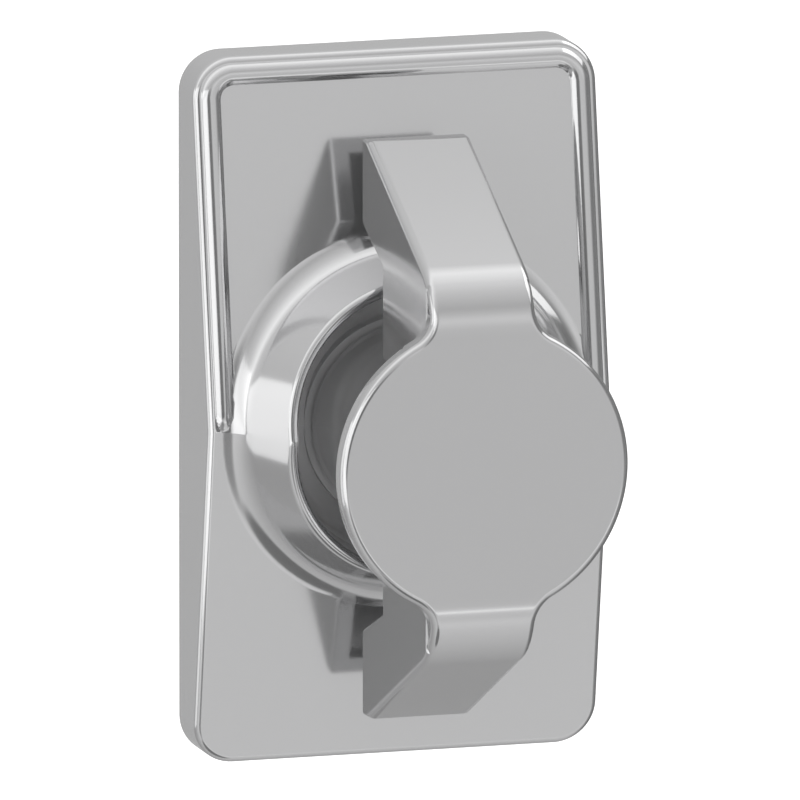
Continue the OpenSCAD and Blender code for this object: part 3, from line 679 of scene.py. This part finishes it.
def makeWorld():  # greys by the pitch of a direction, seen along the line on which the front faces mirror
    world = bpy.data.worlds.new("studioWorld")
    bpy.context.scene.world = world
    world.use_nodes = True
    nodes, links = world.node_tree.nodes, world.node_tree.links
    nodes.clear()
    place = nodes.new("ShaderNodeTexCoord")
    parts = nodes.new("ShaderNodeSeparateXYZ")
    links.new(place.outputs["Generated"], parts.inputs[0])
    ahead = nodes.new("ShaderNodeVectorMath")
    ahead.operation = "DOT_PRODUCT"
    a = math.radians(-studio["azimuth"])
    ahead.inputs[1].default_value = (math.sin(a), -math.cos(a), 0)
    links.new(place.outputs["Generated"], ahead.inputs[0])
    pitch = nodes.new("ShaderNodeMath")
    pitch.operation = "ARCTAN2"
    links.new(parts.outputs["Z"], pitch.inputs[0])
    links.new(ahead.outputs["Value"], pitch.inputs[1])
    turn = nodes.new("ShaderNodeMapRange")
    turn.inputs["From Min"].default_value = -math.pi
    turn.inputs["From Max"].default_value = math.pi
    links.new(pitch.outputs[0], turn.inputs["Value"])
    ramp = nodes.new("ShaderNodeValToRGB")
    fillRamp(ramp.color_ramp, studio["worldGreys"])
    links.new(turn.outputs[0], ramp.inputs[0])
    lit = nodes.new("ShaderNodeBackground")
    lit.inputs["Strength"].default_value = studio["worldStrength"]
    colour = ramp.outputs[0]
    for cloth in studio["darkCloths"]:
        towards = nodes.new("ShaderNodeVectorMath")
        towards.operation = "DOT_PRODUCT"
        towards.inputs[1].default_value = pointedAt(cloth["azimuth"], cloth["elevation"])
        links.new(place.outputs["Generated"], towards.inputs[0])
        mask = nodes.new("ShaderNodeMapRange")
        mask.interpolation_type = "SMOOTHSTEP"
        mask.inputs["From Min"].default_value = math.cos(math.radians(cloth["outer"]))
        mask.inputs["From Max"].default_value = math.cos(math.radians(cloth["inner"]))
        mask.inputs["To Min"].default_value = 1
        mask.inputs["To Max"].default_value = cloth["grey"]
        links.new(towards.outputs["Value"], mask.inputs["Value"])
        dimmed = nodes.new("ShaderNodeVectorMath")
        dimmed.operation = "SCALE"
        links.new(colour, dimmed.inputs[0])
        links.new(mask.outputs[0], dimmed.inputs["Scale"])
        colour = dimmed.outputs[0]
    links.new(colour, lit.inputs["Color"])
    seen = nodes.new("ShaderNodeBackground")
    seen.inputs["Color"].default_value = (1, 1, 1, 1)
    path = nodes.new("ShaderNodeLightPath")
    mix = nodes.new("ShaderNodeMixShader")
    links.new(path.outputs["Is Camera Ray"], mix.inputs[0])
    links.new(lit.outputs[0], mix.inputs[1])
    links.new(seen.outputs[0], mix.inputs[2])
    out = nodes.new("ShaderNodeOutputWorld")
    links.new(mix.outputs[0], out.inputs["Surface"])


def makeSoftbox(name, azimuth, elevation, distance, width, height, strength):
    data = bpy.data.lights.new(name, "AREA")
    data.shape = "RECTANGLE"
    data.size, data.size_y = width, height
    data.energy = strength
    lamp = bpy.data.objects.new(name, data)
    bpy.context.scene.collection.objects.link(lamp)
    a, e = math.radians(azimuth), math.radians(elevation)
    lamp.location = distance * Vector((math.sin(a) * math.cos(e), -math.cos(a) * math.cos(e), math.sin(e)))
    lamp.rotation_euler = lamp.location.to_track_quat("Z", "Y").to_euler()
    lamp.visible_camera = False


def makeFloor():
    mesh = bmesh.new()
    bmesh.ops.create_grid(mesh, x_segments=1, y_segments=1, size=6)
    bmesh.ops.translate(mesh, vec=(0, 0, plateBox["bottom"] * millimetre - studio["floorDrop"]), verts=mesh.verts)
    floor = solid(mesh, "studioFloor")
    material = bpy.data.materials.new("paleFloor")
    material.use_nodes = True
    nodes, links = material.node_tree.nodes, material.node_tree.links
    pale = nodes["Principled BSDF"]
    pale.inputs["Base Color"].default_value = (0.8, 0.8, 0.8, 1)
    pale.inputs["Roughness"].default_value = 0.7
    path = nodes.new("ShaderNodeLightPath")
    white = nodes.new("ShaderNodeEmission")
    white.inputs["Color"].default_value = (0.62, 0.62, 0.62, 1)
    both = nodes.new("ShaderNodeAddShader")
    links.new(pale.outputs[0], both.inputs[0])
    links.new(white.outputs[0], both.inputs[1])
    mix = nodes.new("ShaderNodeMixShader")
    links.new(path.outputs["Is Camera Ray"], mix.inputs[0])
    links.new(pale.outputs[0], mix.inputs[1])
    links.new(both.outputs[0], mix.inputs[2])
    place = nodes.new("ShaderNodeNewGeometry")
    clear = nodes.new("ShaderNodeBsdfTransparent")
    fromBelow = nodes.new("ShaderNodeMixShader")
    links.new(place.outputs["Backfacing"], fromBelow.inputs[0])
    links.new(mix.outputs[0], fromBelow.inputs[1])
    links.new(clear.outputs[0], fromBelow.inputs[2])
    links.new(fromBelow.outputs[0], nodes["Material Output"].inputs["Surface"])
    floor.data.materials.append(material)
    floor.visible_glossy = False


makeCamera()
makeWorld()
makeFloor()
makeSoftbox("leftSoftbox", -96, -3, 1.2, 0.75, 0.95, 1.6)
makeSoftbox("frontLeftSoftbox", -51, 2, 1.2, 1.0, 1.05, 2.4)
makeSoftbox("rightSoftbox", 88, 42, 1.2, 0.85, 0.8, 2.5)
bpy.context.scene.view_settings.view_transform = "Standard"
print("studio ready")
